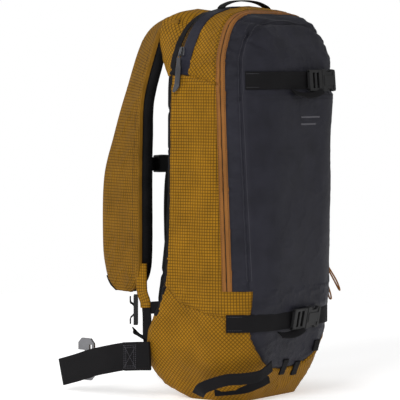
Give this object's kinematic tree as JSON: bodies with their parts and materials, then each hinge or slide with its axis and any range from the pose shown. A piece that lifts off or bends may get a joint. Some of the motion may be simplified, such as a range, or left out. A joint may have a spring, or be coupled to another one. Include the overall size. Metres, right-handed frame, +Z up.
{
  "type": "avalanche airbag backpack",
  "caption": "Slim freestanding ski backpack with a folding zipped front panel, vest shoulder straps, hip belt and a hidden gas airbag system.",
  "frame": {"origin": "centre of the flat base that the pack stands on", "axes": "+Z up along the pack, -Y the outer grey face, +Y the harness side, -X the wearer's left"},
  "size_m": [0.2933, 0.3524, 0.569],
  "materials": {
    "gold_fabric": "ripstop weave",
    "charcoal_fabric": "plain weave, coated",
    "tan_zip": "woven zip tape",
    "black_mesh": "spacer mesh",
    "slate_tape": "coated zip tape",
    "black_webbing": "ribbed webbing",
    "black_plastic": "fine moulded texture",
    "brown_slider": "painted zinc",
    "tan_cord": "braided cord",
    "grey_metal": "satin grey",
    "grey_rubber": "moulded grip",
    "trigger_red": "moulded",
    "bladder_fabric": "coated nylon, packed",
    "bare_aluminium": "anodised",
    "steel": "ground",
    "clear_sheet": "extruded"
  },
  "bodies": {
    "pack": {"main_bag": "gold_fabric", "lower_front_panel": "charcoal_fabric", "back_panel_pad": "black_mesh", "frame_sheet": "clear_sheet", "frame_stay": "bare_aluminium", "front_zip_outer_tape": "tan_zip", "top_zip_tape": "slate_tape", "lower_strap_left": "black_webbing", "lower_strap_right": "black_webbing", "lower_buckle_body": "black_plastic", "shoulder_strap_left": "black_mesh", "shoulder_strap_right": "black_mesh", "strap_pocket_left": "gold_fabric", "strap_pocket_right": "gold_fabric", "strap_tail_left": "black_webbing", "strap_tail_right": "black_webbing", "belt_root_left": "black_webbing", "belt_root_right": "black_webbing", "attachment_tabs": "black_webbing", "airbag_bladder": "bladder_fabric", "venturi_housing": "black_plastic", "cartridge": "bare_aluminium", "valve_head": "bare_aluminium", "pressure_gauge": "steel", "lever_pin": "steel", "trigger_cable": "black_plastic"},
    "front_panel": {"front_panel": "charcoal_fabric", "front_zip_inner_tape": "tan_zip", "upper_strap_left": "black_webbing", "upper_strap_right": "black_webbing", "upper_buckle_body": "black_plastic"},
    "upper_buckle_prong": {"upper_buckle_prong": "black_plastic"},
    "lower_buckle_prong": {"lower_buckle_prong": "black_plastic"},
    "front_slider_upper": {"front_slider_upper": "brown_slider"},
    "front_pull_upper": {"front_pull_cord_upper": "tan_cord"},
    "front_slider_lower": {"front_slider_lower": "brown_slider"},
    "front_pull_lower": {"front_pull_cord_lower": "tan_cord"},
    "top_slider": {"top_slider": "grey_metal"},
    "top_pull": {"top_pull": "grey_rubber"},
    "haul_loop": {"haul_loop": "black_webbing"},
    "ski_loop": {"ski_loop": "black_webbing"},
    "belt_left": {"belt_left": "black_webbing"},
    "belt_hook": {"belt_hook": "grey_metal"},
    "belt_right": {"belt_right": "black_webbing"},
    "belt_ring": {"belt_ring": "grey_metal"},
    "ladder_lock_left": {"ladder_lock_left": "black_plastic"},
    "ladder_lock_right": {"ladder_lock_right": "black_plastic"},
    "sternum_left": {"sternum_slider_left": "black_plastic", "sternum_strap_left": "black_webbing", "sternum_buckle_body": "black_plastic"},
    "sternum_right": {"sternum_slider_right": "black_plastic", "sternum_strap_right": "black_webbing"},
    "sternum_prong": {"sternum_buckle_prong": "black_plastic"},
    "venturi_flap": {"venturi_flap": "black_plastic"},
    "release_lever": {"release_lever": "bare_aluminium"},
    "piercing_pin": {"piercing_pin": "steel", "pin_spring": "steel"},
    "trigger_handle": {"trigger_handle": "trigger_red"}
  },
  "joints": [
    {"name": "front_panel_fold", "type": "hinge", "parent": "pack", "child": "front_panel", "pos_m": [0, -0.102, 0.16], "axis": [1, 0, 0], "range_deg": [0, 90]},
    {"name": "upper_buckle_release", "type": "slide", "parent": "front_panel", "child": "upper_buckle_prong", "axis": [-1, 0, 0], "range_m": [0, 0.022]},
    {"name": "lower_buckle_release", "type": "slide", "parent": "pack", "child": "lower_buckle_prong", "axis": [-1, 0, 0], "range_m": [0, 0.022]},
    {"name": "front_slider_upper_run", "type": "slide", "parent": "pack", "child": "front_slider_upper", "axis": [0.0163, 0.0304, 0.9994], "range_m": [0, 0.19]},
    {"name": "front_pull_upper_flip", "type": "hinge", "parent": "front_slider_upper", "child": "front_pull_upper", "pos_m": [0.135, -0.053, 0.187], "axis": [0, 1, 0], "range_deg": [-60, 14]},
    {"name": "front_slider_lower_run", "type": "slide", "parent": "pack", "child": "front_slider_lower", "axis": [0, 0.0304, 0.9995], "range_m": [0, 0.008]},
    {"name": "front_pull_lower_flip", "type": "hinge", "parent": "front_slider_lower", "child": "front_pull_lower", "pos_m": [0.135, -0.052, 0.163], "axis": [0, 1, 0], "range_deg": [-35, 5]},
    {"name": "top_slider_run", "type": "slide", "parent": "pack", "child": "top_slider", "axis": [0.3048, 0, 0.9524], "range_m": [-0.012, 0.004]},
    {"name": "top_pull_flip", "type": "hinge", "parent": "top_slider", "child": "top_pull", "pos_m": [-0.1325, 0.021, 0.486], "axis": [0, 1, 0], "range_deg": [0, 100]},
    {"name": "haul_loop_swing", "type": "hinge", "parent": "pack", "child": "haul_loop", "pos_m": [0, -0.001, 0.56], "axis": [1, 0, 0], "range_deg": [-28, 28]},
    {"name": "ski_loop_swing", "type": "hinge", "parent": "pack", "child": "ski_loop", "pos_m": [-0.066, -0.092, 0.053], "axis": [-0.4929, 0.7887, -0.3675], "range_deg": [-25, 0]},
    {"name": "belt_left_fold", "type": "hinge", "parent": "pack", "child": "belt_left", "pos_m": [-0.133, 0.118, 0.058], "axis": [0, 0, 1], "range_deg": [-15, 70]},
    {"name": "belt_hook_slide", "type": "slide", "parent": "belt_left", "child": "belt_hook", "axis": [0.1255, 0.9559, -0.2655], "range_m": [-0.015, 0.015]},
    {"name": "belt_right_fold", "type": "hinge", "parent": "pack", "child": "belt_right", "pos_m": [0.133, 0.118, 0.058], "axis": [0, 0, -1], "range_deg": [-15, 70]},
    {"name": "belt_ring_slide", "type": "slide", "parent": "belt_right", "child": "belt_ring", "axis": [-0.1255, 0.9559, -0.2655], "range_m": [-0.015, 0.01]},
    {"name": "ladder_lock_left_tilt", "type": "hinge", "parent": "pack", "child": "ladder_lock_left", "pos_m": [-0.104, 0.121, 0.144], "axis": [0.8192, 0.5736, 0], "range_deg": [-10, 10]},
    {"name": "ladder_lock_right_tilt", "type": "hinge", "parent": "pack", "child": "ladder_lock_right", "pos_m": [0.104, 0.121, 0.144], "axis": [-0.8192, 0.5736, 0], "range_deg": [-10, 10]},
    {"name": "sternum_left_slide", "type": "slide", "parent": "pack", "child": "sternum_left", "axis": [0, 0, 1], "range_m": [-0.014, 0.014]},
    {"name": "sternum_right_slide", "type": "slide", "parent": "pack", "child": "sternum_right", "axis": [0, 0, 1], "range_m": [-0.014, 0.014]},
    {"name": "sternum_buckle_release", "type": "slide", "parent": "sternum_right", "child": "sternum_prong", "axis": [1, 0, 0], "range_m": [0, 0.02]},
    {"name": "venturi_flap_open", "type": "hinge", "parent": "pack", "child": "venturi_flap", "pos_m": [0.07, -0.01425, 0.4296], "axis": [1, 0, 0], "range_deg": [0, 55], "stiffness_Nm_per_rad": 0.02},
    {"name": "trigger_pull", "type": "slide", "parent": "pack", "child": "trigger_handle", "axis": [0, 0, -1], "range_m": [0, 0.02], "stiffness_N_per_m": 400},
    {"name": "release_lever_turn", "type": "hinge", "parent": "pack", "child": "release_lever", "pos_m": [0.095, 0.001, 0.355], "axis": [0, -1, 0], "range_deg": [0, 11.5]},
    {"name": "piercing_pin_stroke", "type": "slide", "parent": "pack", "child": "piercing_pin", "axis": [0, 0, -1], "range_m": [0, 0.005], "deforming": ["pin_spring"]}
  ],
  "couplings": [
    {"joint": "sternum_right_slide", "follows": "sternum_left_slide", "ratio": 1},
    {"joint": "release_lever_turn", "follows": "trigger_pull", "rad_per_m": 9.9484},
    {"joint": "piercing_pin_stroke", "follows": "trigger_pull", "ratio": 0.245}
  ]
}
